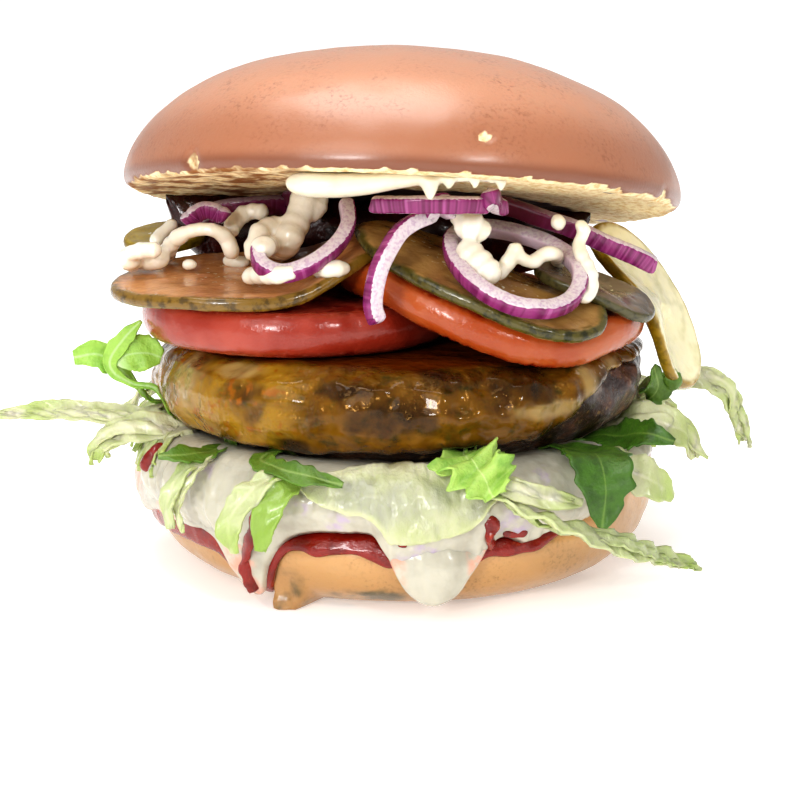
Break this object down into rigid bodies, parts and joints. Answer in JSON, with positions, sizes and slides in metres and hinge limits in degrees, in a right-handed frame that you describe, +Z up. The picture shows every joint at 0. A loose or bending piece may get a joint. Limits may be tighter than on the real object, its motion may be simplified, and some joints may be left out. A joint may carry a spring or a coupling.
{
  "type": "burger",
  "caption": "Stacked burger: domed bun leaning back over onion, pickles, tomato, cheese on a patty, salad and sauce on the lower bun.",
  "frame": {"origin": "middle of the flat foot of the bottom bun, at the board", "axes": "+Z up, -Y towards the front that the picture shows, +X to the right in the picture"},
  "size_m": [0.1626, 0.1253, 0.1067],
  "materials": {
    "bun_crust": "soft baked crust with a light glaze",
    "ketchup": "wet red sauce",
    "mayo": "smooth white sauce",
    "pale_lettuce": "crisp pale leaf",
    "green_leaf": "soft green leaf",
    "patty": "grilled and charred",
    "cheese": "melted and shiny",
    "tomato": "wet cut flesh",
    "pickle": "wet translucent slice",
    "onion": "crisp, with a purple skin"
  },
  "bodies": {
    "root": {"heel": "bun_crust", "crown": "bun_crust", "ketchup_spread": "ketchup", "mayo_spread": "mayo", "mayo_crown": "mayo", "salad_bed": "pale_lettuce", "rocket_leaf_left": "green_leaf", "rocket_leaf_outer": "green_leaf", "rocket_leaf_low": "green_leaf", "rocket_leaf_front": "green_leaf", "rocket_leaf_dark": "green_leaf", "rocket_leaf_right": "green_leaf", "rocket_leaf_back": "green_leaf", "frilly_leaf": "green_leaf", "patty": "patty", "cheese": "cheese", "tomato_left": "tomato", "tomato_right": "tomato", "pickle_left": "pickle", "pickle_middle": "pickle", "pickle_right": "pickle", "pickle_low": "pickle", "pickle_back": "pickle", "onion_left": "onion", "onion_small": "onion", "onion_strip": "onion", "onion_top": "onion", "onion_right": "onion", "onion_back": "onion", "onion_ring": "onion"}
  },
  "joints": []
}
